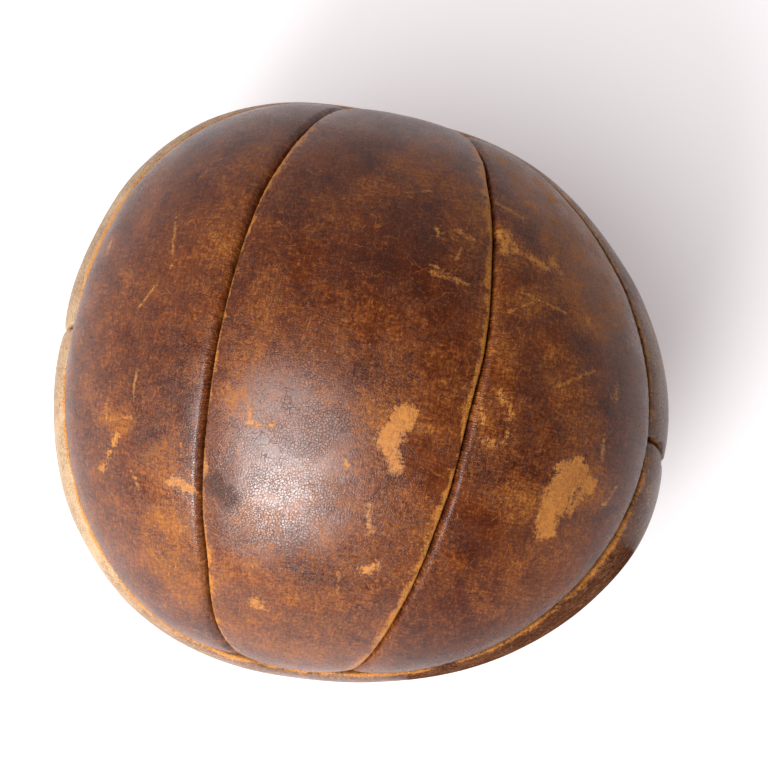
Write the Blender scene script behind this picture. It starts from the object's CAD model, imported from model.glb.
"""Looks of the old leather medicine ball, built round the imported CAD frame.

Each panel is a thick leather tray with rolled, turned-in edges. Pieces are laid out as directions on a
true ball, which sagged() turns into the real, out-of-round one.
"""
import math

import bmesh
import bpy
import numpy as np
from mathutils import Matrix, Vector


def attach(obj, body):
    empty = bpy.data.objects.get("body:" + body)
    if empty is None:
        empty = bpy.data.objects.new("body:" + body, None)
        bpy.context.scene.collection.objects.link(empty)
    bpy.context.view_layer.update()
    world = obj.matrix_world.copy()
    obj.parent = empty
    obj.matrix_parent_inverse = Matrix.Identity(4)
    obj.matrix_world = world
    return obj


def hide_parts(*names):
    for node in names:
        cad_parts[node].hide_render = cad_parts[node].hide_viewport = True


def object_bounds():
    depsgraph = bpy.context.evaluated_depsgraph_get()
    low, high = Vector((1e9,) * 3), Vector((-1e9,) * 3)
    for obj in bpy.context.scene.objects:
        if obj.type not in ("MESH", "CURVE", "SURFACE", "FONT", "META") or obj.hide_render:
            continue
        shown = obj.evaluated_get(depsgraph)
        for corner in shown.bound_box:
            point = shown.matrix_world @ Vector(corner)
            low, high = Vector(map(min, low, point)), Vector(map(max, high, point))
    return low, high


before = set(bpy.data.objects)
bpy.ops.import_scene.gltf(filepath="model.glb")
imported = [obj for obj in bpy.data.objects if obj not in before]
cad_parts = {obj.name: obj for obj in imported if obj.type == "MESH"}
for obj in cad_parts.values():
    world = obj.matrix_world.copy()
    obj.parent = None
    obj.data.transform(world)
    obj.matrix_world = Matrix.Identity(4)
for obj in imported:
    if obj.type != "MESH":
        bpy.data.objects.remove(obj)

cad_low, cad_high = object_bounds()

MM = 0.001

# --- shape of the ball, in metres; the first three lengths come from the frame ---
HALF_X = (cad_high.x - cad_low.x) / 2
HALF_Y = (cad_high.y - cad_low.y) / 2
FLAT_LEVEL = 0.945  # depth of the flat spot under the centre, share of HALF_Z
HALF_Z = cad_high.z / (1 + FLAT_LEVEL)
BALL = 150 * MM  # radius of the true ball that the panels are laid out on
OUT_OF_ROUND = (  # lobes seen from above: how many, height in millimetres, turn in degrees
    (2, 4.8, -6), (3, 3.8, 2), (4, 1.8, 51), (5, 0.9, -4), (6, 0.7, 5),
)
FLAT_SOFTNESS = 2.5 * MM  # how gently the skin turns into the flat spot

# --- seams ---
RIM_X = math.radians(23.7)  # height of the cap's rim above the middle at +X and -X
RIM_Y = math.radians(10.5)  # and at +Y and -Y
STRIP_LEAN = math.radians(18.2)  # of the strip seams' planes from upright
STRIP_PIVOT = 0.264  # where the two planes meet under the centre, share of radius
HALF_GAP = 0.65 * MM  # half the gap between the two edges of a seam
LEATHER = 3.0 * MM  # thickness
LINING_TOP = 3.15 * MM  # depths under the skin
LINING_BOTTOM = 4.15 * MM
STUFFING_TOP = 4.4 * MM
FLANGE = 9.5 * MM  # how far the turned-in edges reach
STITCH_PITCH = 5.5 * MM
THREAD_RADIUS = 0.5 * MM
THREAD_DEPTH = 4.6 * MM

STRIDE = 6  # outer rows of a panel's grid to one inner row


# --- small tools ---

def smooth(low, high, value):
    """0 below low, 1 above high, and smooth between."""
    share = np.clip((value - low) / (high - low), 0, 1)
    return share * share * (3 - 2 * share)


def bell(value, middle, reach):
    """1 at middle, and next to nothing farther away than twice reach."""
    return np.exp(-((value - middle) / reach) ** 2)


def unit(vectors):
    """The same directions with a length of 1."""
    return vectors / np.linalg.norm(vectors, axis=-1, keepdims=True)


def hashed(ix, iy, iz, seed):
    """A repeatable random number from -1 to 1 for each lattice point."""
    mixed = (ix * 73856093) ^ (iy * 19349663) ^ (iz * 83492791) ^ (seed * 2654435761)
    mixed = (mixed ^ (mixed >> 13)) * 1274126177
    mixed = (mixed ^ (mixed >> 16)) & 0xFFFFFF
    return mixed / float(0x7FFFFF) - 1.0


def noise(points, size, seed):
    """Smooth noise from -1 to 1 at points, with features of about size."""
    cells = points / size
    base = np.floor(cells).astype(np.int64)
    part = cells - base
    part = part * part * (3 - 2 * part)
    total = np.zeros(points.shape[:-1])
    for corner in range(8):
        step = np.array([corner & 1, corner >> 1 & 1, corner >> 2 & 1])
        weight = np.prod(np.where(step, part, 1 - part), axis=-1)
        ix, iy, iz = np.moveaxis(base + step, -1, 0)
        total += weight * hashed(ix, iy, iz, seed)
    return total


def noise_vector(points, size, seed):
    """Noise in three directions at once."""
    return np.stack([noise(points, size, seed + i) for i in range(3)], axis=-1)


# --- the true ball, the real ball and the seams between them ---

def sagged(directions):
    """Point and outward normal on the real ball, centre at 0, for directions of the true ball."""
    x = directions[..., 0] * HALF_X
    y = directions[..., 1] * HALF_Y
    z = directions[..., 2] * HALF_Z
    turn = np.arctan2(y, x)
    oval = 1 / np.hypot(np.cos(turn) / HALF_X, np.sin(turn) / HALF_Y)
    lobes = (h * MM * np.cos(n * (turn - math.radians(first))) for n, h, first in OUT_OF_ROUND)
    wanted = BALL + sum(lobes)
    stretch = 1 + (1 - directions[..., 2] ** 2) * (wanted / oval - 1)
    point = np.stack([x * stretch, y * stretch, z], axis=-1)
    normal = np.stack([x / HALF_X ** 2, y / HALF_Y ** 2, z / HALF_Z ** 2], axis=-1)
    return point, unit(normal)


def place(directions, depth, inner=0.0):
    """Points depth under the skin, in the row frame, and no lower than inner at the flat spot."""
    point, normal = sagged(directions)
    point = point - normal * depth[..., None]
    floor = -FLAT_LEVEL * HALF_Z + inner
    above = (point[..., 2] - floor) / FLAT_SOFTNESS
    point[..., 2] = floor + FLAT_SOFTNESS * np.logaddexp(0, above)
    point[..., 2] += FLAT_LEVEL * HALF_Z
    return point


def turned_over(directions):
    """The lower cap is the upper one turned over about a level diagonal."""
    x, y, z = np.moveaxis(directions, -1, 0)
    return np.stack([y, x, -z], axis=-1)


def strip_frame(side):
    """Normal, upward direction and level of a strip seam's plane; side is -1 left, 1 right."""
    rise, lean = math.cos(STRIP_LEAN), side * math.sin(STRIP_LEAN)
    return np.array([rise, 0, -lean]), np.array([lean, 0, rise]), STRIP_PIVOT * lean


def strip_distance(directions, side):
    """How far directions lie to the right of a strip seam, and how far along it."""
    normal, upward, level = strip_frame(side)
    across = (np.arcsin(np.clip(directions @ normal, -1, 1)) - math.asin(level)) * BALL
    along = np.arctan2(directions[..., 1], directions @ upward) * BALL
    return across, along


def strip_line(side, shift, angle):
    """Directions on a strip seam that is moved right by shift, at angles from its top."""
    normal, upward, level = strip_frame(side)
    moved = math.sin(math.asin(level) + shift / BALL)
    ring = upward * np.cos(angle)[..., None] + np.array([0, 1, 0]) * np.sin(angle)[..., None]
    return normal * moved + ring * math.sqrt(1 - moved * moved)


def rim_latitude(turn):
    """Height of the upper rim above the middle, as an angle."""
    return np.arctan(np.hypot(math.tan(RIM_X) * np.cos(turn), math.tan(RIM_Y) * np.sin(turn)))


def rim_steepness(turn):
    """Distance across the rim for each step in latitude: 1 where the rim runs level."""
    step = 0.001
    slope = (rim_latitude(turn + step) - rim_latitude(turn - step)) / (2 * step)
    return 1 / np.hypot(1, slope / np.cos(rim_latitude(turn)))


def rim_distance(directions):
    """How far directions lie above the upper cap's rim, and how far along it."""
    turn = np.arctan2(directions[..., 1], directions[..., 0])
    latitude = np.arcsin(np.clip(directions[..., 2], -1, 1))
    across = (latitude - rim_latitude(turn)) * rim_steepness(turn) * BALL
    return across, turn * BALL * 0.95


def on_ball(turn, latitude):
    """Directions from angles round the ball and above its middle."""
    level = np.cos(latitude)
    return np.stack([np.cos(turn) * level, np.sin(turn) * level, np.sin(latitude)], axis=-1)


def rim_line(shift, turn):
    """Directions on the upper rim, moved up by shift."""
    return on_ball(turn, rim_latitude(turn) + shift / BALL / rim_steepness(turn))


def strip_corner(side, strip_shift, rim_shift):
    """Angle on the strip seam, and turn on the rim, where the two moved lines cross at +Y."""
    low, high = 0.5, 2.2
    for _ in range(40):
        middle = (low + high) / 2
        point = strip_line(side, strip_shift, np.array(middle))
        if rim_distance(point)[0] > rim_shift:
            low = middle
        else:
            high = middle
    point = strip_line(side, strip_shift, np.array(low))
    return low, math.atan2(point[1], point[0])


# --- grids of directions that fill a panel ---

def spacing(length, fine, coarse):
    """Shares from 0 to 1 along a side, close together in the rolled edges at both ends."""
    at = np.linspace(0, length, 4000)
    edge = np.minimum(at, length - at)
    step = fine + (coarse - fine) * smooth(3 * MM, 14 * MM, edge)
    count = np.concatenate([[0], np.cumsum(np.diff(at) / step[1:])])
    number = max(2, round(count[-1] / STRIDE)) * STRIDE
    return np.interp(np.linspace(0, count[-1], number + 1), count, at) / length


def filled(left, right, front, back, s, t):
    """Coons patch between four sides, given as functions from a share to chart points."""
    s_, t_ = s[None, :, None], t[:, None, None]
    across = (1 - s_) * left(t)[:, None] + s_ * right(t)[:, None]
    along = (1 - t_) * front(s)[None] + t_ * back(s)[None]
    ends = np.array([0.0, 1.0])
    (c00, c10), (c01, c11) = front(ends), back(ends)
    corners = (1 - s_) * (1 - t_) * c00 + s_ * (1 - t_) * c10 + (1 - s_) * t_ * c01 + s_ * t_ * c11
    return across + along - corners


def cap_chart(directions):
    """Flat chart of the cap: distance from its middle as an angle, in the right direction."""
    down = np.arccos(np.clip(directions[..., 2], -1, 1))
    turn = np.arctan2(directions[..., 1], directions[..., 0])
    return np.stack([down * np.cos(turn), down * np.sin(turn)], axis=-1)


def cap_unchart(points):
    """Directions back from the flat chart."""
    down = np.hypot(points[..., 0], points[..., 1])
    return on_ball(np.arctan2(points[..., 1], points[..., 0]), math.pi / 2 - down)


def between(start, end, share):
    """The value at share of the way from start to end."""
    return start + (end - start) * share


def strip_side(side, shift, angle):
    """A side of a cap's panel along a strip seam, out to an angle both ways from its top."""
    return lambda k: cap_chart(strip_line(side, shift, between(-angle, angle, k)))


def rim_side(shift, start, end):
    """A side of a cap's panel along the rim."""
    return lambda k: cap_chart(rim_line(shift, between(start, end, k)))


def centre_strip(inset, s, t):
    angle_l, turn_l = strip_corner(-1, inset, inset)
    angle_r, turn_r = strip_corner(1, -inset, inset)
    return cap_unchart(filled(
        strip_side(-1, inset, angle_l), strip_side(1, -inset, angle_r),
        rim_side(inset, -turn_l, -turn_r), rim_side(inset, turn_l, turn_r), s, t))


def left_strip(inset, s, t):
    """The rim side is split in three, so the sharp ends are true corners of the grid."""
    angle, turn = strip_corner(-1, -inset, inset)
    split = turn + 0.22 * (2 * math.pi - 2 * turn)
    return cap_unchart(filled(
        rim_side(inset, 2 * math.pi - split, split), strip_side(-1, -inset, angle),
        rim_side(inset, 2 * math.pi - split, 2 * math.pi - turn), rim_side(inset, split, turn), s, t))


def right_strip(inset, s, t):
    return left_strip(inset, 1 - s[::-1], t)[:, ::-1] * np.array([-1, 1, 1])


def front_belt(inset, s, t):
    """From -X round the front (-Y) to +X, between the two rims."""
    def end(latitude):
        """How far along the belt its cross seams' edges lie from +X or -X."""
        return np.arcsin(inset / BALL / np.cos(latitude))

    def height(share, at_bottom):
        """Latitude of a rim's edge."""
        turn = between(math.pi, 2 * math.pi, share)
        turn = math.pi / 2 - turn if at_bottom else turn
        latitude = rim_latitude(turn) - inset / BALL / rim_steepness(turn)
        return -latitude if at_bottom else latitude

    def long_side(at_bottom):
        start, stop = height(np.array([0.0, 1.0]), at_bottom)
        first, last = math.pi + end(start), 2 * math.pi - end(stop)
        return lambda k: np.stack([between(first, last, k), height(k, at_bottom)], axis=-1)

    def short_side(at_right):
        low, high = (height(np.array(float(at_right)), at_bottom) for at_bottom in (True, False))

        def side(share):
            latitude = between(low, high, share)
            turn = 2 * math.pi - end(latitude) if at_right else math.pi + end(latitude)
            return np.stack([turn, latitude], axis=-1)
        return side

    chart = filled(short_side(False), short_side(True), long_side(True), long_side(False), s, t)
    return on_ball(chart[..., 0], chart[..., 1])


def back_belt(inset, s, t):
    return front_belt(inset, s, t) * np.array([-1, -1, 1])


def lower(grid):
    """The same panel of the lower cap."""
    return lambda inset, s, t: turned_over(grid(inset, s, t))


SIDE_STRIP, CENTRE_STRIP, BELT = (120 * MM, 330 * MM), (110 * MM, 400 * MM), (460 * MM, 90 * MM)
PANELS = {  # grid of directions, rough width and length
    "top_left_panel": (left_strip, *SIDE_STRIP),
    "top_centre_panel": (centre_strip, *CENTRE_STRIP),
    "top_right_panel": (right_strip, *SIDE_STRIP),
    "bottom_front_panel": (lower(left_strip), *SIDE_STRIP),
    "bottom_centre_panel": (lower(centre_strip), *CENTRE_STRIP),
    "bottom_back_panel": (lower(right_strip), *SIDE_STRIP),
    "belt_front_panel": (front_belt, *BELT),
    "belt_back_panel": (back_belt, *BELT),
}


# --- shape of the leather near its seams ---

ROLL = 2.3 * MM  # radius of a panel's rolled edge at a rim or cross seam
STRIP_ROLLS = {  # and at a strip seam, strip by strip
    "left": 3.6 * MM, "right": 3.0 * MM, "front": 3.0 * MM, "back": 3.0 * MM, "centre": 1.5 * MM,
}
RIM_DIP = 2.0 * MM  # how far a seam pulls the skin in
STRIP_DIP = 1.4 * MM
CORNER_DIP = 2.2 * MM  # extra pull where a strip seam runs into a rim
CORNER_REACH = 12 * MM
DIP_REACH = 8 * MM
SWELLS = ((62, 3, 0.9), (27, 4, 0.32), (11, 5, 0.08))  # size in mm, seed, height in mm
LUMPS = (  # where the stuffing bulges: direction, reach and height
    ((0.78, -0.62, 0.00), 0.34, 2.6 * MM),
    ((0.96, -0.27, 0.05), 0.25, 3.0 * MM),
)
SCALLOP = 0.22 * MM  # extra pull at each stitch
SCALLOP_REACH = 3 * MM

# how the real seams stray from even curves, on a ball of radius 1
STRAY = 0.006  # all seams, everywhere
STRAY_SIZE = 0.36  # from one wave to the next
BACK_HALF_BOW = 0.018  # the right strip seam, to the right, over its back half
BACK_END_BOW = 0.030  # and at its back end
FRONT_END_BOW = 0.050  # the left strip seam, to the left, at its front end
FRONT_DROP = 0.045  # the rim, down, over its front half
RIGHT_DROP = 0.025  # on its right
CORNER_DROP = 0.030  # and between the two


def seam_distances(name, directions):
    """For each seam of a panel: distance from it, distance along it, its pull, and its edge's roll."""
    layer, strip = name.split("_")[:2]
    if layer == "belt":
        found = [(-rim_distance(d)[0], rim_distance(d)[1], RIM_DIP, ROLL)
                 for d in (directions, turned_over(directions))]
        side = -1 if strip == "front" else 1
        across = side * np.arcsin(np.clip(directions[..., 1], -1, 1)) * BALL
        return found + [(across, np.arcsin(directions[..., 2]) * BALL, STRIP_DIP, ROLL)]
    own = directions if layer == "top" else turned_over(directions)
    found = [(*rim_distance(own), RIM_DIP, ROLL)]
    for side, outer_strips in ((-1, ("left", "front")), (1, ("right", "back"))):
        if strip == "centre" or strip in outer_strips:
            across, along = strip_distance(own, side)
            outwards = -side if strip == "centre" else side
            found.append((across * outwards, along, STRIP_DIP, STRIP_ROLLS[strip]))
    return found


def swell(point):
    """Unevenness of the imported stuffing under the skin, outwards."""
    uneven = sum(noise(point, size * MM, seed) * height * MM for size, seed, height in SWELLS)
    towards = unit(point)
    for middle, reach, height in LUMPS:
        uneven = uneven + height * np.exp(-(np.linalg.norm(towards - middle, axis=-1) / reach) ** 2)
    return uneven


def pulled_in(seams):
    """How far all seams together pull a layer in."""
    edges = [np.maximum(seam[0] - HALF_GAP, 0) for seam in seams]
    pull = sum(seam[2] * np.exp(-edge / DIP_REACH) for seam, edge in zip(seams, edges))
    return pull + sum(CORNER_DIP * np.exp(-(edges[0] + edge) / CORNER_REACH) for edge in edges[1:])


def rolled(seams):
    """Extra depth of the skin in its rolled edges, with a pull at each stitch."""
    depth = 0.0
    for across, along, _, roll in seams:
        edge = np.maximum(across - HALF_GAP, 0)
        bend = np.maximum(roll - edge, 0)
        depth = depth + roll - np.sqrt(roll ** 2 - bend ** 2)
        pull = 0.5 + 0.5 * np.cos(2 * math.pi * along / STITCH_PITCH)
        depth = depth + SCALLOP * pull * np.exp(-edge / SCALLOP_REACH)
    return depth


def nearest(seams):
    """Distance to the nearest seam's edge, and distance along that seam."""
    across = np.stack([seam[0] for seam in seams])
    along = np.stack([seam[1] for seam in seams])
    first = across.argmin(axis=0)[None]
    return np.take_along_axis(across, first, 0)[0] - HALF_GAP, np.take_along_axis(along, first, 0)[0]


def strayed(directions):
    """Moves directions a little, the same for every layer, so no seam is a perfect curve."""
    x, y, z = np.moveaxis(directions, -1, 0)
    moved = directions + noise_vector(directions, STRAY_SIZE, 11) * STRAY
    bow = BACK_HALF_BOW * smooth(-0.15, 0.15, y) + BACK_END_BOW * smooth(0.65, 0.90, y)
    bow = bow * bell(x, 0.40, 0.22)
    bow = bow - FRONT_END_BOW * smooth(-0.66, -0.90, y) * bell(x, -0.40, 0.20)
    moved[..., 0] += bow * smooth(0, 0.3, z)
    drop = FRONT_DROP * smooth(0.25, -0.10, y) + RIGHT_DROP * bell(x, 0.85, 0.25)
    drop = drop + CORNER_DROP * bell(x, 0.60, 0.30) * smooth(-0.2, -0.5, y)
    moved[..., 2] -= drop * bell(z, 0.32, 0.22)
    return moved


def wandered(directions, name):
    """Strays a panel's directions, with a little of its own at its edges so the gaps vary."""
    edge = nearest(seam_distances(name, directions))[0]
    seed = 100 + 10 * list(PANELS).index(name)
    moved = strayed(directions)
    weight = np.exp(-np.maximum(edge, 0) / (7 * MM))[..., None]
    moved = moved + noise_vector(directions, 0.08, seed) * 0.0022 * weight
    if name.startswith("belt"):
        moved[..., 1] += cross_seam_shift(directions, name)
    return unit(moved)


def cross_seam_shift(directions, name):
    """The belt's cross seams slant, and the hand-closed right one also gapes and is ragged."""
    x, y, z = np.moveaxis(directions, -1, 0)
    near = bell(y, 0, 0.16) * smooth(0.4, 0.8, np.abs(x))
    slant = np.where(x > 0, 0.040 * smooth(0.12, 0.30, z) - 0.036, 0.014)
    close = np.exp(-np.abs(y) / 0.02) * (x > 0) * smooth(0.4, 0.8, np.abs(x))
    tooth = 1 if name == "belt_back_panel" else -1
    ragged = 0.0035 * np.sin(z * 60) + tooth * (0.0028 + 0.0015 * np.sin(z * 97 + tooth))
    return near * slant + close * ragged


# --- meshes ---

def linked(name, data):
    """A new object in the scene."""
    made = bpy.data.objects.new(name, data)
    bpy.context.collection.objects.link(made)
    return made


def finished(name, mesh):
    """A smooth-shaded piece from its mesh."""
    mesh.polygons.foreach_set("use_smooth", [True] * len(mesh.polygons))
    return linked(name, mesh)


def loop_of(grid):
    """The points round a grid's outside, in order."""
    return np.concatenate([grid[0, :-1], grid[:-1, -1], grid[-1, :0:-1], grid[:0:-1, 0]])


class Builder:
    """Collects points and faces of one mesh, with a few numbers for each point."""

    def __init__(self):
        self.points, self.faces, self.values, self.count = [], [], [], 0

    def add(self, points, **values):
        """Adds points and returns their indices in the same arrangement."""
        flat = points.reshape(-1, 3)
        index = np.arange(self.count, self.count + len(flat)).reshape(points.shape[:-1])
        self.points.append(flat)
        self.values.append({k: np.broadcast_to(v, points.shape[:-1] + np.shape(v)[points.ndim - 1:])
                            .reshape(len(flat), -1) for k, v in values.items()})
        self.count += len(flat)
        return index

    def quads(self, grid, flip=False):
        """Faces over a whole grid of points."""
        corners = [grid[:-1, :-1], grid[:-1, 1:], grid[1:, 1:], grid[1:, :-1]]
        if flip:
            corners.reverse()
        self.faces += np.stack([c.ravel() for c in corners], axis=1).tolist()

    def wall(self, upper, under):
        """Quads between two loops of as many points."""
        after_upper, after_under = np.roll(upper, -1), np.roll(under, -1)
        self.faces += np.stack([upper, under, after_under, after_upper], axis=1).tolist()

    def bridge(self, fine, coarse):
        """Faces between a loop and one with a STRIDE-th of its points."""
        fine, coarse = fine.tolist(), coarse.tolist()
        for i, start in enumerate(coarse):
            stop = coarse[(i + 1) % len(coarse)]
            run = [fine[(i * STRIDE + k) % len(fine)] for k in range(STRIDE + 1)]
            self.faces.append([*run[::-1], start, stop])

    def make(self, name):
        """The piece, with its faces turned outwards."""
        mesh = bpy.data.meshes.new(name)
        mesh.from_pydata(np.concatenate(self.points).tolist(), [], self.faces)
        for key in self.values[0]:
            column = np.concatenate([v[key] for v in self.values]).astype(np.float32)
            kind, field = ("FLOAT_VECTOR", "vector") if column.shape[1] == 3 else ("FLOAT", "value")
            layer = mesh.attributes.new(key, kind, "POINT")
            layer.data.foreach_set(field, column.ravel())
        mesh.update()
        made = bmesh.new()
        made.from_mesh(mesh)
        bmesh.ops.recalc_face_normals(made, faces=made.faces)
        made.to_mesh(mesh)
        made.free()
        return finished(name, mesh)


def sheet_place(name, directions):
    """Where a point lies on its hide, laid out flat; every panel is cut from another place."""
    layer = name.split("_")[0]
    offset = 0.5 * list(PANELS).index(name)
    if layer == "belt":
        turn = np.arctan2(directions[..., 1], directions[..., 0]) % (2 * math.pi)
        if name == "belt_back_panel":
            turn = (turn + math.pi) % (2 * math.pi)
        flat = np.stack([turn, np.arcsin(directions[..., 2])], axis=-1) * BALL
    else:
        flat = cap_chart(directions if layer == "top" else turned_over(directions)) * BALL
    return np.concatenate([flat, np.full(flat.shape[:-1] + (1,), offset)], axis=-1)


def leather_panel(name):
    """A leather tray: grained skin, rolled edges, turned-in flanges and a plain inside."""
    grid, width, length = PANELS[name]
    s, t = spacing(width, 0.36 * MM, 0.95 * MM), spacing(length, 0.36 * MM, 1.0 * MM)
    made = Builder()

    def layer(directions, depth, inner, edge):
        point = place(wandered(directions, name), depth, inner)
        point[..., 2] = np.maximum(point[..., 2], 0.1 * MM)
        seams = seam_distances(name, directions)
        near, along = nearest(seams)
        return made.add(point, edge=(near if edge is None else edge) / MM,
                        along=along / MM, sheet=sheet_place(name, directions),
                        edge_wear=edge_wear(name, seams, point), dirt=dirt(name, seams, point),
                        **worn(point, name))

    outer = grid(HALF_GAP, s, t)
    seams = seam_distances(name, outer)
    hump = swell(sagged(outer)[0])
    depth = pulled_in(seams) + rolled(seams) - hump
    skin = layer(outer, depth, 0.0, None)
    made.quads(skin)
    upper, rim_depth, rim = loop_of(skin), loop_of(depth), loop_of(outer)
    drop = np.maximum(loop_of(pulled_in(seams) - hump) + FLANGE - rim_depth, 2.5 * MM)
    for share in (0.12, 0.32, 0.65, 1.0):
        under = layer(rim, rim_depth + drop * share, FLANGE * share, -drop * share)
        made.wall(upper, under)
        upper = under
    inside = grid(HALF_GAP + LEATHER, s[::STRIDE], t[::STRIDE])
    inner_depth = pulled_in(seam_distances(name, inside)) - swell(sagged(inside)[0])
    foot = layer(loop_of(inside), loop_of(inner_depth) + FLANGE, LEATHER, -FLANGE)
    made.bridge(upper, foot)
    back = layer(inside, inner_depth + LEATHER, LEATHER, -FLANGE)
    made.wall(foot, loop_of(back))
    made.quads(back, flip=True)
    return made.make(name + "_leather")


def canvas_lining(name):
    """A thin closed layer of canvas behind a panel's skin."""
    grid, width, length = PANELS[name]
    s, t = (spacing(side, 2.5 * MM, 3.2 * MM) for side in (width, length))
    made = Builder()
    inside = grid(HALF_GAP + LEATHER + 0.15 * MM, s, t)
    base = pulled_in(seam_distances(name, inside)) - swell(sagged(inside)[0])
    grids = [made.add(place(wandered(inside, name), base + top, top), sheet=sheet_place(name, inside))
             for top in (LINING_TOP, LINING_BOTTOM)]
    made.quads(grids[0])
    made.wall(loop_of(grids[0]), loop_of(grids[1]))
    made.quads(grids[1], flip=True)
    return made.make(name.replace("panel", "lining") + "_canvas")


def hair_stuffing():
    """Packed hair, grooved under the seams where the turned-in leather presses into it."""
    ball = bmesh.new()
    bmesh.ops.create_icosphere(ball, subdivisions=7, radius=1)
    mesh = bpy.data.meshes.new("hair_stuffing_mass")
    ball.to_mesh(mesh)
    ball.free()
    directions = np.empty(len(mesh.vertices) * 3)
    mesh.vertices.foreach_get("co", directions)
    directions = unit(directions.reshape(-1, 3))
    top = rim_distance(directions)[0] > 0
    bottom = rim_distance(turned_over(directions))[0] > 0
    depth = np.zeros(len(directions))
    for name in PANELS:
        layer = name.split("_")[0]
        here = top if layer == "top" else bottom if layer == "bottom" else ~(top | bottom)
        seams = seam_distances(name, directions)
        edge = nearest(seams)[0]
        here = here & (edge > -HALF_GAP)
        groove = (FLANGE - STUFFING_TOP + 0.6 * MM) * (1 - smooth(3.2 * MM, 5.2 * MM, edge))
        depth = np.where(here, pulled_in(seams) + groove, depth)
    point = sagged(directions)[0]
    clumps = noise(point, 5 * MM, 21) * 0.35 * MM + noise(point, 2 * MM, 22) * 0.2 * MM
    depth = depth + STUFFING_TOP + 0.55 * MM - clumps - swell(point)
    mesh.vertices.foreach_set("co", place(directions, depth, STUFFING_TOP).ravel())
    return finished("hair_stuffing_mass", mesh)


def stitched(name, line):
    """One thread, sewn to and fro through both turned-in edges along a line of directions."""
    on_rim = "rim" in name
    steps = np.diff(sagged(line)[0], axis=0)
    length = np.concatenate([[0], np.cumsum(np.linalg.norm(steps, axis=1))])
    number = int(length[-1] / STITCH_PITCH)
    at = (np.arange(number) + 0.5) * length[-1] / number
    centre = unit(np.stack([np.interp(at, length, line[:, i]) for i in range(3)], axis=1))
    moved = unit(strayed(centre))
    pull = RIM_DIP if on_rim else STRIP_DIP
    depth = np.full(number, THREAD_DEPTH + pull) - swell(sagged(centre)[0])
    middle = place(moved, depth, THREAD_DEPTH)
    across = unit(np.cross(sagged(moved)[1], np.gradient(middle, axis=0)))
    swing = across * (HALF_GAP + LEATHER + 0.4 * MM) * np.where(np.arange(number) % 2, 1, -1)[:, None]
    route = np.stack([middle + swing, middle - swing], axis=1).reshape(-1, 3)
    name += "_stitches"
    curve = bpy.data.curves.new(name, "CURVE")
    curve.dimensions = "3D"
    curve.bevel_depth = THREAD_RADIUS
    curve.bevel_resolution = 1
    curve.use_fill_caps = True
    spline = curve.splines.new("POLY")
    spline.points.add(len(route) - 1)
    spline.use_cyclic_u = on_rim and number % 2 == 0
    spline.points.foreach_set("co", np.c_[route, np.ones(len(route))].ravel())
    holder = bpy.data.objects.new(name, curve)
    mesh = bpy.data.meshes.new_from_object(holder)
    bpy.data.objects.remove(holder)
    return finished(name, mesh)


def strip_seam_line(side):
    angle = strip_corner(side, 0, 0)[0] - 0.02
    return strip_line(side, 0, np.linspace(-angle, angle, 400))


def rim_seam_line():
    return rim_line(0, np.linspace(0, 2 * math.pi, 900))


def cross_seam_line(side):
    """Between the two rims at +X or -X."""
    turn = 0.0 if side > 0 else math.pi
    top = float(rim_latitude(np.array(turn))) - 0.03
    bottom = -float(rim_latitude(np.array(math.pi / 2 - turn))) + 0.03
    latitude = np.linspace(bottom, top, 100)
    line = on_ball(np.full(100, turn), latitude)
    line[:, 1] += cross_seam_shift(line, "")
    return line


THREADS = {  # the line of each one's seam
    "top_left_seam_thread": strip_seam_line(-1),
    "top_right_seam_thread": strip_seam_line(1),
    "bottom_front_seam_thread": turned_over(strip_seam_line(-1)),
    "bottom_back_seam_thread": turned_over(strip_seam_line(1)),
    "top_rim_seam_thread": rim_seam_line(),
    "bottom_rim_seam_thread": turned_over(rim_seam_line()),
    "belt_left_seam_thread": cross_seam_line(-1),
    "belt_right_closing_thread": cross_seam_line(1),
}


# --- wear ---

# Marks on the upper side, in millimetres from the middle: from (x, y) to (x, y), and half the width.
BARE_MARKS = (  # worn right through to the pale hide
    (25, -30, 31, -19, 5.6), (26, -34, 31, -42, 3.4), (109, -27, 105, -42, 6.4),
    (103, -42, 103, -54, 5.2), (112, -23, 119, -29, 4.4), (118, -32, 113, -44, 1.8),
    (69, 112, 80, 102, 1.5), (59, 76, 66, 68, 2.2), (46, 121, 54, 116, 0.8), (67, 96, 73, 94, 0.8),
    (124, 19, 124, 11, 0.9), (99, -56, 104, -57, 1.8), (121, -27, 120, -33, 1.6),
    (-38, -29, -37, -35, 1.5), (-36, -35, -26, -34, 1), (-99, -50, -105, -65, 1.3),
    (-68, -66, -59, -68, 2.6), (57, 75, 61, 67, 2.4), (104, 46, 105, 42, 0.9),
    (31, 67, 28, 69, 0.9), (38, 70, 46, 68, 1), (-23, -112, -18, -113, 2.2),
    (25, -90, 30, -86, 2.2), (73, 67, 81, 64, 1.7), (83, 69, 88, 63, 1.2), (22, -61, 25, -72, 0.9),
    (7, -41, 10, -46, 0.8), (62, -3, 66, -16, 0.9), (71, 0, 77, -7, 0.9), (68, -22, 77, -22, 1),
    (77, -9, 77, -18, 0.7),
)
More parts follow.
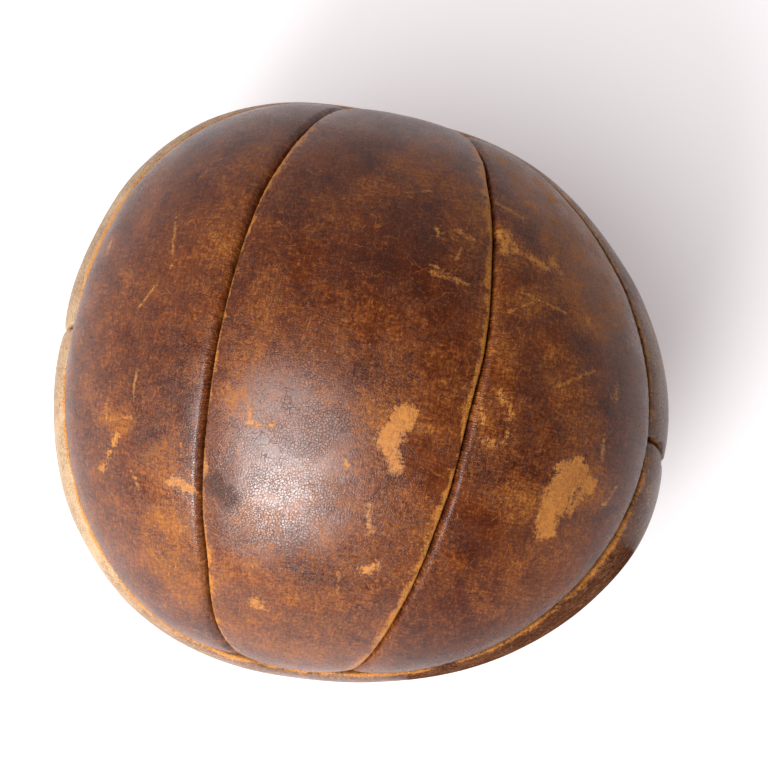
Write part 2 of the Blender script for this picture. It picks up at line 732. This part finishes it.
RUBBED_MARKS = (  # finish thinned to orange specks
    (18, -22, 18, -42, 9), (22, -15, 38, -22, 5), (85, -45, 98, -45, 10), (121, -28, 118, -50, 8),
    (62, -3, 68, -17, 4), (71, 0, 77, -7, 4), (69, -22, 78, -21, 4), (64, 73, 67, 66, 5),
    (52, 91, 67, 86, 3), (-67, -92, -51, -107, 14), (-75, -58, -62, -72, 9),
    (-24, -110, 24, -118, 22), (37, -64, 54, -79, 14), (88, -85, 110, -70, 14),
    (8, -81, 41, -81, 14), (-48, -23, -40, -29, 5), (-70, 40, -62, 90, 8), (-20, 60, 20, 110, 10),
    (36, 96, 44, 60, 8), (-106, -40, -95, -44, 5), (-40, 30, -45, -10, 7), (-22, -76, 8, -52, 15),
    (95, 20, 112, -5, 9), (76, 45, 95, 60, 6), (60, 40, 70, 10, 5), (55, 125, 110, 80, 6),
    (57, 75, 66, 65, 7), (43, 121, 58, 117, 5), (58, 60, 63, 38, 5), (63, 38, 63, 24, 4),
    (106, 43, 113, 41, 4), (68, 110, 82, 100, 11), (76, 67, 86, 67, 5), (78, 105, 108, 55, 15),
)
SCRATCHES = (
    (122, -5, 123, -17), (133, -27, 128, -38), (-124, 45, -125, 36), (-94, -18, -94, -32),
    (-106, -43, -93, -40), (-107, -36, -106, -43), (-89, -64, -84, -71), (31, 47, 44, 46),
    (14, -92, 15, -101), (29, 51, 48, 46), (-67, -49, -66, -54), (68, 97, 71, 95),
    (-92, 55, -88, 30), (10, 84, 22, 88), (-100, 10, -93, 22), (96, 10, 112, 22), (72, 49, 93, 45),
    (110, 50, 119, 47), (68, 38, 78, 46), (40, 56, 41, 63), (30, 48, 47, 46), (52, 91, 67, 86),
)
DARK_MARKS = (  # creases and a stain
    (-26, 9, -17, -8, 0.3), (2, 7, 8, 4, 0.8), (11, 8, 15, 0, 0.6), (-48, -63, -40, -69, 5),
    (-30, 30, -24, 26, 1), (5, 0, 9, -2, 0.6),
)
MARK_REACH = 6.0  # the fields fade out this far outside a mark
SCATTERED = 46  # marks strewn over the sides and the underside
SCATTERED_TOP = 0.15  # they start this high above the middle, share of radius

# Fading on the upper side: its share, then from where to where it grows across (x) and along (y) the
# strips, in millimetres.
FADED = (
    (0.14, None, (50, -110)),
    (0.24, (-25, -95), None),
    (-0.45, (-30, 40), (-30, -100)),
    (-0.20, (60, 20), (20, 60)),
    (0.40, (45, 80), (-30, 40)),
)
BELT_FADED = ((1.7, (-10, -120), None), (-0.35, (20, 90), None))


def stroke_distance(points, start, end):
    """Distance of points from the straight line between two others."""
    start, along = np.asarray(start, float), np.subtract(end, start)
    share = np.clip((points - start) @ along / max(along @ along, 1e-9), 0, 1)
    return np.linalg.norm(points - start - share[..., None] * along, axis=-1)


def scattered_marks():
    """Marks below the upper rim: start, end and half the width, on the ball."""
    random = np.random.default_rng(48)
    found = []
    while len(found) < SCATTERED:
        start = unit(random.normal(size=3))
        step = random.normal(size=3) * random.uniform(0.02, 0.09)
        width = random.choice([0.6, 0.9, 1.6, 3.4], p=[0.4, 0.3, 0.2, 0.1])
        end = unit(start + step)
        if max(start[2], end[2]) < SCATTERED_TOP:
            found.append((start, end, width))
    return found


def mark_field(marks, plan, upper):
    """How deep inside the marks on the upper side each point lies, in millimetres."""
    field = np.full(plan.shape[:-1], -MARK_REACH)
    for x0, y0, x1, y1, half in marks:
        depth = half - stroke_distance(plan, (x0, y0), (x1, y1))
        field = np.maximum(field, np.where(upper, depth, -MARK_REACH))
    return field


def marked(point, name, upper):
    """How deep inside marks of each kind points of a panel lie, in millimetres."""
    plan = point[..., :2] / MM
    scratches = [(*mark, 0.0) for mark in SCRATCHES]
    kinds = {"bare": BARE_MARKS, "rubbed": RUBBED_MARKS, "dark": DARK_MARKS, "scratched": scratches}
    fields = {kind: mark_field(marks, plan, upper) for kind, marks in kinds.items()}
    if not name.startswith("top"):
        for start, end, half in scattered_marks():
            ends = sagged(np.array([start, end]))[0] + [0, 0, FLAT_LEVEL * HALF_Z]
            kind = "scratched" if half < 0.8 else "bare" if half < 2 else "rubbed"
            depth = half - stroke_distance(point, *ends) / MM + (6 if kind == "rubbed" else 0)
            fields[kind] = np.maximum(fields[kind], depth)
    return {kind: np.maximum(field, -MARK_REACH) for kind, field in fields.items()}


def spread(areas, x, y):
    """Sum of shares, each over its own area."""
    return sum(share * (1 if across is None else smooth(*across, x))
               * (1 if along is None else smooth(*along, y)) for share, across, along in areas)


def worn(point, name):
    """Wear at points of a panel: its marks, how faded it is, and how polished by handling."""
    upper = point[..., 2] > FLAT_LEVEL * HALF_Z
    x, y = point[..., 0] / MM, point[..., 1] / MM
    faded = 0.26 + spread(FADED, x, y) + 0.30 * bell(x, -22, 30) * bell(y, -12, 34)
    faded = np.where(upper, faded, 0.5) + 0.22 * noise(point, 55 * MM, 41)
    polish = bell(x, -24, 60) * bell(y, -56, 48) * upper
    polish = polish - 0.28 * smooth(20, 80, x) * smooth(-20, -80, y)
    if name.startswith("belt"):
        faded = faded + spread(BELT_FADED, x, y)
        polish = polish - 0.24
    return {"faded": faded, "polish": polish, **marked(point, name, upper)}


def dirt(name, seams, point):
    """Dark dirt that has settled along the rims."""
    on_belt = name.startswith("belt")
    reach = (0.9 if on_belt else 3.2) * (1 + 0.30 * noise(point, 9 * MM, 33))
    reach = reach + 1.4 * smooth(20, 70, point[..., 0] / MM) * on_belt
    rims = seams[:2] if on_belt else seams[:1]
    return np.max([1 - smooth(0, 1, (rim[0] - HALF_GAP) / MM / reach) for rim in rims], axis=0)


def edge_wear(name, seams, point):
    """Share of the finish that handling has rubbed off along the panel's edges."""
    layer, strip = name.split("_")[:2]
    right = smooth(0, 70, point[..., 0] / MM)
    # places: the share and the width in millimetres at each seam, rims first
    if layer == "belt":
        places = [(1.1 - 0.4 * right, 3.4 + 2.6 * right), (1.1 - 0.5 * right, 3.4), (0.7, 2.0)]
    elif strip == "centre":
        places = [(0.4, 1.6), (1.0, 3.6), (1.0, 5.2)]
    else:
        places = [(0.4 + 0.4 * right, 1.6), (0.3, 1.6)]
    uneven = 1 + 0.6 * noise(point, 11 * MM, 31) + 0.5 * noise(point, 3.5 * MM, 32)
    return np.max([share * (1 - smooth(0.1, 1.35, seam[0] / MM / (width * uneven)))
                   for seam, (share, width) in zip(seams, places)], axis=0)


# --- materials ---

STAIN = (0.045, 0.014, 0.009, 1)
CRACK = (0.016, 0.007, 0.005, 1)
DIRT = (0.020, 0.008, 0.006, 1)
SEAM_SIDE = (0.012, 0.005, 0.004, 1)  # the turned-in leather inside a seam
PUCKER_PITCH = 1.25  # of the fine puckers along a seam, in millimetres
RELIEF = 0.00013  # height of the leather's bumps, in metres


class Graph:
    """The nodes of a material or world. A value is a number, a colour or another node's output."""

    def __init__(self, owner, shader):
        owner.use_nodes = True
        self.tree = owner.node_tree
        self.shader = self.tree.nodes[shader]

    def put(self, socket, value):
        if isinstance(value, bpy.types.NodeSocket):
            self.tree.links.new(value, socket)
        else:
            socket.default_value = value

    def node(self, kind, inputs=(), **settings):
        made = self.tree.nodes.new("ShaderNode" + kind)
        for key, value in settings.items():
            setattr(made, key, value)
        for key, value in dict(inputs).items():
            self.put(made.inputs[key], value)
        return made

    def set(self, **values):
        """Sets the shader's own sockets; an underscore stands for a space."""
        for key, value in values.items():
            self.put(self.shader.inputs[key.replace("_", " ")], value)

    def math(self, kind, a, b=0.0):
        return self.node("Math", {0: a, 1: b}, operation=kind).outputs[0]

    def add(self, a, b):
        return self.math("ADD", a, b)

    def times(self, a, b):
        return self.math("MULTIPLY", a, b)

    def total(self, *parts):
        """Sum of values, each given with its weight."""
        found = self.times(*parts[0])
        for value, weight in parts[1:]:
            found = self.add(found, self.times(value, weight))
        return found

    def ramp(self, value, low, high, start=0.0, end=1.0):
        """start below low, end above high, smooth between."""
        inputs = {"Value": value, "From Min": low, "From Max": high, "To Min": start, "To Max": end}
        return self.node("MapRange", inputs, interpolation_type="SMOOTHSTEP").outputs[0]

    def mix(self, share, a, b):
        made = self.node("Mix", data_type="RGBA")
        self.put(made.inputs[0], share)
        self.put(made.inputs[6], a)
        self.put(made.inputs[7], b)
        return made.outputs[2]

    def number(self, name):
        """A mesh attribute."""
        return self.node("Attribute", attribute_name=name).outputs["Fac"]

    def vector(self, name):
        """A mesh attribute with three parts."""
        return self.node("Attribute", attribute_name=name).outputs["Vector"]

    def on_object(self):
        """The place on the object, in metres."""
        return self.node("TexCoord").outputs["Object"]

    def scaled(self, where, scale, turn=0.0):
        inputs = {"Vector": where, "Scale": scale, "Rotation": (0, 0, turn)}
        return self.node("Mapping", inputs).outputs[0]

    def noise(self, where, scale, detail=3.0, roughness=0.5):
        inputs = {"Vector": where, "Scale": scale, "Detail": detail, "Roughness": roughness}
        return self.node("TexNoise", inputs).outputs[0]

    def warped(self, where, scale, reach):
        """where, moved about by up to reach metres."""
        shift = self.node("TexNoise", {"Vector": where, "Scale": scale, "Detail": 2.0}).outputs[1]
        centred = self.node("VectorMath", {0: shift, 1: (0.5,) * 3}, operation="SUBTRACT").outputs[0]
        moved = self.node("VectorMath", {0: centred, "Scale": reach * 2}, operation="SCALE").outputs[0]
        return self.node("VectorMath", {0: where, 1: moved}, operation="ADD").outputs[0]

    def cells(self, where, scale, feature="F1"):
        inputs = {"Vector": where, "Scale": scale}
        return self.node("TexVoronoi", inputs, feature=feature).outputs["Distance"]

    def cell_edges(self, where, scale, width):
        """1 on the edges of cells, and 0 farther than width from them."""
        return self.ramp(self.cells(where, scale, "DISTANCE_TO_EDGE"), 0.0, width, 1.0, 0.0)

    def bump(self, height, distance):
        inputs = {"Height": height, "Distance": distance}
        self.set(Normal=self.node("Bump", inputs).outputs[0])


def material(name, paint, *settings):
    """A material whose nodes are made by paint."""
    made = bpy.data.materials.new(name)
    paint(Graph(made, "Principled BSDF"), *settings)
    return made


def leather_grain(g, sheet, dark):
    """Fine cracks between the cells of the grain, and a few longer creases."""
    width = g.ramp(dark, 0.0, 1.0, 0.13, 0.16)
    cracks = g.cell_edges(g.warped(sheet, 420, 0.0007), 780, width)
    dry = g.ramp(g.noise(sheet, 45, 3.0), 0.34, 0.60, 0.3, 1.0)
    creases = g.cell_edges(g.warped(sheet, 160, 0.006), 130, 0.02)
    folded = g.ramp(g.noise(sheet, 60, 3.0), 0.54, 0.66)
    return g.times(cracks, g.math("MAXIMUM", dark, dry)), g.times(creases, folded)


def leather_wear(g, sheet, loose, patchy, wear_share):
    """Fine and grainy noise that wear follows, and three stages of it."""
    speckle = g.noise(g.warped(sheet, 300, 0.001), 520, 8.0, 0.8)
    fibres = g.noise(g.scaled(loose, (1100, 170, 400), 0.5), 1.0, 5.0, 0.72)
    cross = g.noise(g.scaled(loose, (150, 1000, 400), 0.2), 1.0, 5.0, 0.72)
    grainy = g.total((speckle, 1.2), (fibres, 0.80), (cross, 0.70))
    cloudy = g.noise(loose, 17, 5.0, 0.62)
    rubbed = g.ramp(g.number("rubbed"), -5.0, 3.0)
    amount = g.total((cloudy, 0.38), (patchy, 0.62), (g.add(g.number("faded"), -0.5), 0.20),
                     (rubbed, 0.14), (g.number("edge_wear"), 0.22))
    worn_so = g.add(g.add(grainy, amount), wear_share)
    stages = [g.ramp(worn_so, low, high) for low, high in ((1.66, 2.00), (1.90, 2.18), (2.10, 2.34))]
    return speckle, grainy, stages


def leather_marks(g, sheet, speckle, grainy):
    """Bare patches and scratches with ragged edges, and thin pale hairlines all over."""
    ragged = g.add(g.noise(g.warped(sheet, 120, 0.003), 150, 7.0, 0.8), -0.5)
    ragged = g.total((ragged, 12.0), (g.add(grainy, -1.35), 6.0))
    bare = g.ramp(g.add(g.number("bare"), ragged), -0.7, 1.7)
    scratch = g.ramp(g.add(g.number("scratched"), g.times(ragged, 0.45)), -0.9, 0.2)
    lines = g.cell_edges(g.warped(sheet, 45, 0.016), 95, 0.022)
    shown = g.ramp(g.add(speckle, g.noise(sheet, 75, 3.0)), 0.98, 1.12)
    return bare, scratch, g.times(lines, shown)


def leather(g, tones, wear_share):
    """Old grained leather: dark finish, cracked and rubbed through to rust, orange, then bare hide."""
    deep, usual, rust, orange, hide, edging = tones
    sheet = g.vector("sheet")
    loose = g.warped(sheet, 90, 0.0035)
    patchy = g.noise(loose, 70, 6.0, 0.72)
    blotches = g.times(g.add(g.noise(sheet, 200, 4.0, 0.7), -0.5), 8.0)
    dark = g.ramp(g.add(g.number("dark"), blotches), -3.0, 2.5)
    cracked, creased = leather_grain(g, sheet, dark)
    speckle, grainy, stages = leather_wear(g, sheet, loose, patchy, wear_share)
    thinned, worn_off, worn_through = stages
    bare, scratch, hairlines = leather_marks(g, sheet, speckle, grainy)
    edge, dirt_share = g.number("edge"), g.number("dirt")

    # colour, from the finish outwards
    tone = g.total((g.noise(sheet, 11, 4.0, 0.6), 0.6), (patchy, 0.4))
    handled = g.total((g.number("edge_wear"), 1.0), (g.add(grainy, -1.35), 1.4))
    pale = g.mix(g.ramp(g.total((grainy, 1.0), (patchy, 0.6)), 1.48, 1.80, 1.0, 0.0), hide, orange)
    sunk = g.times(cracked, g.ramp(dark, 0.0, 1.0, 0.60, 1.0))
    sunk = g.math("MAXIMUM", sunk, g.times(creased, 0.55))
    sunk = g.times(sunk, g.ramp(bare, 0.0, 1.0, 1.0, 0.2))
    wall = g.ramp(edge, -2.6, -0.1, 1.0, 0.0)
    colour = g.mix(g.ramp(tone, 0.38, 0.62), deep, usual)
    for share, weight, over in (
            (thinned, 0.9, rust), (worn_off, 0.9, orange), (worn_through, 0.75, hide),
            (g.ramp(handled, 0.25, 0.85), 0.80, edging), (hairlines, 0.65, orange),
            (scratch, 0.7, hide), (bare, 0.95, pale), (dark, 0.50, STAIN), (sunk, 1.0, CRACK),
            (dirt_share, g.ramp(patchy, 0.3, 0.6, 1.0, 0.75), DIRT), (wall, 0.93, SEAM_SIDE)):
        colour = g.mix(g.times(share, weight), colour, over)

    # relief and gloss
    fine = g.noise(sheet, 2800, 3.0, 0.6)
    puckers = g.total((g.number("along"), 2 * math.pi / PUCKER_PITCH), (patchy, 14.0))
    puckers = g.times(g.math("SINE", puckers), g.ramp(edge, 0.4, 5.0, 1.0, 0.0))
    g.bump(g.total((cracked, -0.65), (creased, -0.8), (g.cells(loose, 1400), -0.30), (fine, 0.10),
                   (puckers, 0.30), (bare, -0.4), (worn_off, -0.05)), RELIEF)
    shaded = g.math("MAXIMUM", wall, dirt_share)
    rough = g.total((worn_off, 0.12), (bare, 0.35), (sunk, 0.25), (fine, 0.10), (patchy, 0.14))
    dull = g.math("MAXIMUM", g.times(worn_off, 0.7), g.times(dark, 0.5))
    dull = g.ramp(g.math("MAXIMUM", dull, shaded), 0.0, 1.0, 1.0, 0.1)
    g.set(Base_Color=colour, Roughness=g.add(rough, g.ramp(shaded, 0.0, 1.0, 0.12, 0.4)),
          Specular_IOR_Level=g.times(g.add(g.times(g.number("polish"), 0.56), 0.22), dull))


def canvas(g):
    sheet = g.vector("sheet")
    weave = []
    for turn in (0.0, math.pi / 2):
        inputs = {"Vector": g.scaled(sheet, (1, 1, 1), turn), "Scale": 260.0, "Distortion": 0.6,
                  "Detail": 2.0, "Detail Scale": 3.0}
        weave.append(g.node("TexWave", inputs, wave_type="BANDS", bands_direction="X").outputs[1])
    woven = g.math("MAXIMUM", *weave)
    soil = g.noise(sheet, 30, 5.0, 0.6)
    colour = g.mix(woven, (0.20, 0.15, 0.09, 1), (0.50, 0.42, 0.29, 1))
    colour = g.mix(g.ramp(soil, 0.45, 0.7), colour, (0.22, 0.14, 0.08, 1))
    g.bump(g.add(woven, g.times(g.noise(sheet, 3000, 2.0), 0.4)), 0.0003)
    g.set(Base_Color=colour, Roughness=0.9, Specular_IOR_Level=0.2)


def waxed_thread(g):
    where = g.on_object()
    twist = g.node("TexWave", {"Vector": where, "Scale": 900.0, "Distortion": 1.5, "Detail": 2.0},
                   wave_type="BANDS", bands_direction="DIAGONAL").outputs[1]
    soil = g.noise(where, 60, 4.0)
    colour = g.mix(twist, (0.16, 0.09, 0.045, 1), (0.42, 0.30, 0.17, 1))
    colour = g.mix(g.ramp(soil, 0.4, 0.65), colour, (0.06, 0.035, 0.02, 1))
    g.bump(twist, 0.0002)
    g.set(Base_Color=colour, Roughness=0.55, Specular_IOR_Level=0.4)


def hair(g):
    where = g.warped(g.on_object(), 60, 0.01)
    strands = g.math("MAXIMUM", g.noise(g.scaled(where, (1500, 90, 500), 0.4), 1.0, 4.0, 0.6),
                     g.noise(g.scaled(where, (80, 1300, 600), -0.3), 1.0, 4.0, 0.6))
    colour = g.mix(g.ramp(strands, 0.45, 0.7), (0.035, 0.022, 0.014, 1), (0.24, 0.16, 0.10, 1))
    colour = g.mix(g.ramp(g.noise(where, 25, 3.0), 0.5, 0.7), colour, (0.16, 0.14, 0.12, 1))
    g.bump(strands, 0.0008)
    g.set(Base_Color=colour, Roughness=0.8, Specular_IOR_Level=0.3)


CAP_TONES = ((0.046, 0.009, 0.004, 1), (0.098, 0.021, 0.006, 1), (0.170, 0.044, 0.010, 1),
             (0.320, 0.108, 0.022, 1), (0.480, 0.195, 0.042, 1), (0.480, 0.185, 0.034, 1))
BELT_TONES = ((0.070, 0.022, 0.011, 1), (0.135, 0.048, 0.022, 1), (0.225, 0.100, 0.050, 1),
              (0.430, 0.260, 0.140, 1), (0.600, 0.440, 0.270, 1), (0.580, 0.220, 0.038, 1))
MATERIALS = {
    "cap_leather": (leather, CAP_TONES, 0.0),
    "belt_leather": (leather, BELT_TONES, 0.05),
    "canvas": (canvas,),
    "waxed_thread": (waxed_thread,),
    "hair": (hair,),
}
MATERIALS = {slot: material(slot, *recipe) for slot, recipe in MATERIALS.items()}


# --- the ball put together ---

def fit(piece, node, slot):
    """Puts a finished piece in a CAD node's place."""
    for holder in (piece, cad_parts[node]):
        holder.data.materials.clear()
        holder.data.materials.append(MATERIALS[slot])
    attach(piece, "root")
    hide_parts(node)
    return piece


for panel_name in PANELS:
    skin_slot = "belt_leather" if panel_name.startswith("belt") else "cap_leather"
    fit(leather_panel(panel_name), panel_name, skin_slot)
    fit(canvas_lining(panel_name), panel_name.replace("panel", "lining"), "canvas")
for thread_name, seam_line in THREADS.items():
    fit(stitched(thread_name, seam_line), thread_name, "waxed_thread")
fit(hair_stuffing(), "hair_stuffing", "hair")


# --- studio ---

def floor_paint(g):
    """Pale, and giving off a little light, which keeps the shadow soft."""
    paint = g.mix(g.noise(g.on_object(), 3, 2.0), (0.66, 0.65, 0.66, 1), (0.68, 0.67, 0.68, 1))
    g.set(Base_Color=paint, Roughness=0.9, Specular_IOR_Level=0.1,
          Emission_Color=(1.0, 0.92, 0.95, 1), Emission_Strength=0.36)


def studio_floor():
    bpy.ops.mesh.primitive_plane_add(size=12, location=(0, 0, 0))
    floor = bpy.context.object
    floor.name = "studio_floor"
    floor.data.materials.append(material("studio_floor", floor_paint))


def studio_light(name, direction, distance, size, power):
    """A soft box that faces the ball from a direction."""
    light = bpy.data.lights.new(name, "AREA")
    light.shape = "DISK"
    light.size = size
    light.energy = power
    lamp = linked(name, light)
    towards = Vector(direction).normalized()
    lamp.location = BALL_CENTRE + towards * distance
    lamp.rotation_mode = "QUATERNION"
    lamp.rotation_quaternion = towards.to_track_quat("Z", "Y")


def studio_world(overhead, side, bright_side, contrast):
    """Soft light from all round, dim overhead and brighter on one side."""
    world = bpy.data.worlds.new("studio")
    bpy.context.scene.world = world
    g = Graph(world, "Background")
    where = g.node("TexCoord").outputs["Generated"]
    height = g.node("SeparateXYZ", {0: where}).outputs["Z"]
    facing = g.node("VectorMath", {0: where, 1: bright_side}, operation="DOT_PRODUCT").outputs["Value"]
    low, high = side * (1 - contrast), side * (1 + contrast)
    around = {"Value": facing, "From Min": -1, "To Min": low, "To Max": high}
    around = g.node("MapRange", around).outputs[0]
    g.set(Color=(1.0, 0.91, 0.87, 1), Strength=g.ramp(height, 0.25, 0.85, around, overhead))


BALL_CENTRE = Vector((0, 0, FLAT_LEVEL * HALF_Z))
VIEW_BACK = Vector((0.0488, -0.1025, 0.9935))  # from the ball to the camera
VIEW_UP = Vector((-0.1874, 0.9761, 0.1099))
VIEW_DISTANCE = 1.2
VIEW_LENS = 112.1
VIEW_ASIDE = 15.2 * MM  # the ball lies this far left of the view's middle
VIEW_ABOVE = 5.2 * MM  # and this far below it


def camera():
    """The camera at the photo's angle, with the ball a little off the middle."""
    lens = bpy.data.cameras.new("camera")
    lens.lens = VIEW_LENS
    holder = linked("camera", lens)
    right = VIEW_UP.cross(VIEW_BACK).normalized()
    stand = BALL_CENTRE + VIEW_BACK * VIEW_DISTANCE
    target = BALL_CENTRE + right * VIEW_ASIDE + VIEW_UP * VIEW_ABOVE
    back = (stand - target).normalized()
    right = VIEW_UP.cross(back).normalized()
    up = back.cross(right)
    holder.matrix_world = Matrix.Translation(stand) @ Matrix((right, up, back)).transposed().to_4x4()
    bpy.context.scene.camera = holder


studio_floor()
studio_world(overhead=0.06, side=0.52, bright_side=(-0.75, 0.65, 0), contrast=0.85)
studio_light("key", direction=(-0.243, -0.745, 0.62), distance=2.4, size=1.15, power=57)
studio_light("main", direction=(-0.300, -0.340, 0.891), distance=2.6, size=2.1, power=72)
camera()
bpy.context.scene.view_settings.view_transform = "Standard"
